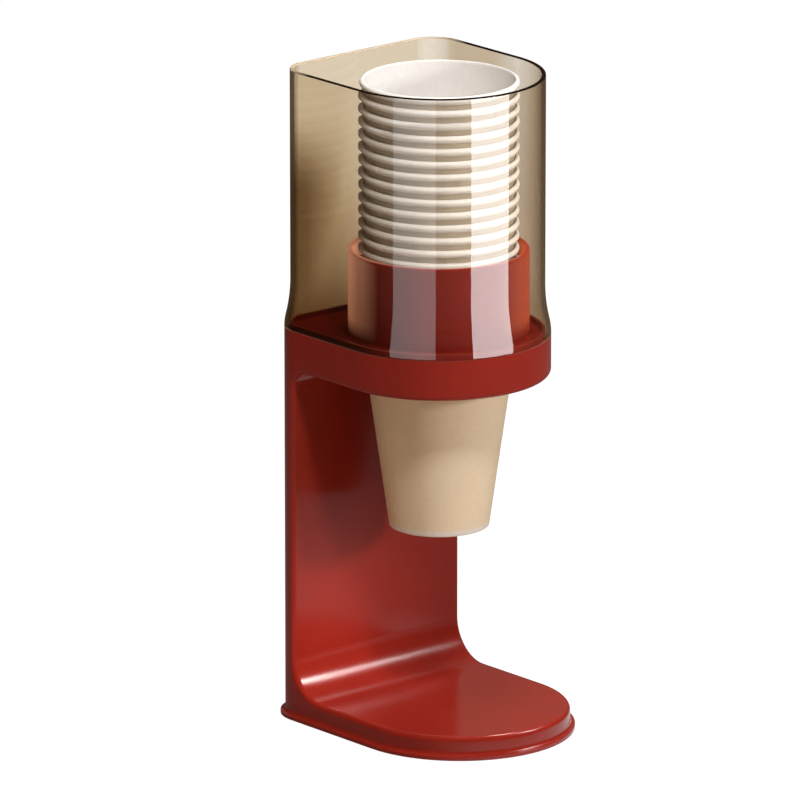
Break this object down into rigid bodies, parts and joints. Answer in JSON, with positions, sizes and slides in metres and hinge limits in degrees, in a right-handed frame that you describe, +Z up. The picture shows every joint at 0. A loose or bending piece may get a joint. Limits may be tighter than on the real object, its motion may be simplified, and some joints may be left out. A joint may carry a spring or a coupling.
{
  "type": "cup dispenser",
  "caption": "Table-top pull-down dispenser for nested paper cups: C-shaped stand, clear lift-off dust cover, cup tube and sprung retaining levers round the throat.",
  "frame": {"origin": "on the table surface, in the middle of the footprint's bounding box", "axes": "+Z up, -Y to the front, where the cup is taken, +X to the right seen from the front"},
  "size_m": [0.1096, 0.134, 0.3162],
  "materials": {
    "red_abs": "satin gloss",
    "smoked_clear": "clear smoked amber plastic",
    "cup_board": "coated paper board",
    "ivory_pom": "moulded acetal",
    "base_plastic": "moulded",
    "pad_rubber": "matt",
    "steel_screws": "zinc plated",
    "spring_wire": "drawn wire"
  },
  "bodies": {
    "stand": {"stand_shell": "red_abs", "back_cover": "red_abs", "back_cover_screws": "steel_screws", "base_plate": "base_plastic", "base_screws": "steel_screws", "anti_slip_pads": "pad_rubber", "cup_tube": "red_abs", "deck_screws": "steel_screws", "lever_carrier": "ivory_pom", "carrier_screws": "steel_screws", "lever_pin_1": "steel_screws", "lever_pin_2": "steel_screws", "lever_pin_3": "steel_screws", "lever_pin_4": "steel_screws", "lever_spring_1": "spring_wire", "lever_spring_2": "spring_wire", "lever_spring_3": "spring_wire", "lever_spring_4": "spring_wire"},
    "dust_cover": {"dust_cover": "smoked_clear"},
    "cup_stack": {"cup_01": "cup_board", "cup_02": "cup_board", "cup_03": "cup_board", "cup_04": "cup_board", "cup_05": "cup_board", "cup_06": "cup_board", "cup_07": "cup_board", "cup_08": "cup_board", "cup_09": "cup_board", "cup_10": "cup_board", "cup_11": "cup_board", "cup_12": "cup_board", "cup_13": "cup_board", "cup_14": "cup_board", "cup_15": "cup_board", "cup_16": "cup_board", "cup_17": "cup_board", "cup_18": "cup_board", "cup_19": "cup_board", "cup_20": "cup_board", "cup_21": "cup_board"},
    "pulled_cup": {"hanging_cup": "cup_board"},
    "retaining_lever_1": {"lever_1": "ivory_pom"},
    "retaining_lever_2": {"lever_2": "ivory_pom"},
    "retaining_lever_3": {"lever_3": "ivory_pom"},
    "retaining_lever_4": {"lever_4": "ivory_pom"}
  },
  "joints": [
    {"name": "cover_lift", "type": "slide", "parent": "stand", "child": "dust_cover", "axis": [0, 0, 1], "range_m": [0, 0.14]},
    {"name": "stack_lift", "type": "slide", "parent": "stand", "child": "cup_stack", "axis": [0, 0, 1], "range_m": [0, 0.215]},
    {"name": "cup_pull", "type": "slide", "parent": "stand", "child": "pulled_cup", "axis": [0, 0, -1], "range_m": [0, 0.005]},
    {"name": "lever_1_swing", "type": "hinge", "parent": "stand", "child": "retaining_lever_1", "pos_m": [0.03111, 0.03351, 0.1817], "axis": [0.7071, -0.7071, 0], "range_deg": [0, 40.5], "stiffness_Nm_per_rad": 0.003, "springref_deg": -45.84, "deforming": ["lever_spring_1"]},
    {"name": "lever_2_swing", "type": "hinge", "parent": "stand", "child": "retaining_lever_2", "pos_m": [-0.03111, 0.03351, 0.1817], "axis": [0.7071, 0.7071, 0], "range_deg": [0, 40.5], "stiffness_Nm_per_rad": 0.003, "springref_deg": -45.84, "deforming": ["lever_spring_2"]},
    {"name": "lever_3_swing", "type": "hinge", "parent": "stand", "child": "retaining_lever_3", "pos_m": [-0.03111, -0.02871, 0.1817], "axis": [-0.7071, 0.7071, 0], "range_deg": [0, 40.5], "stiffness_Nm_per_rad": 0.003, "springref_deg": -45.84, "deforming": ["lever_spring_3"]},
    {"name": "lever_4_swing", "type": "hinge", "parent": "stand", "child": "retaining_lever_4", "pos_m": [0.03111, -0.02871, 0.1817], "axis": [-0.7071, -0.7071, 0], "range_deg": [0, 40.5], "stiffness_Nm_per_rad": 0.003, "springref_deg": -45.84, "deforming": ["lever_spring_4"]}
  ],
  "couplings": [
    {"joint": "lever_1_swing", "follows": "cup_pull", "rad_per_m": 139.63},
    {"joint": "lever_2_swing", "follows": "cup_pull", "rad_per_m": 139.63},
    {"joint": "lever_3_swing", "follows": "cup_pull", "rad_per_m": 139.63},
    {"joint": "lever_4_swing", "follows": "cup_pull", "rad_per_m": 139.63}
  ]
}
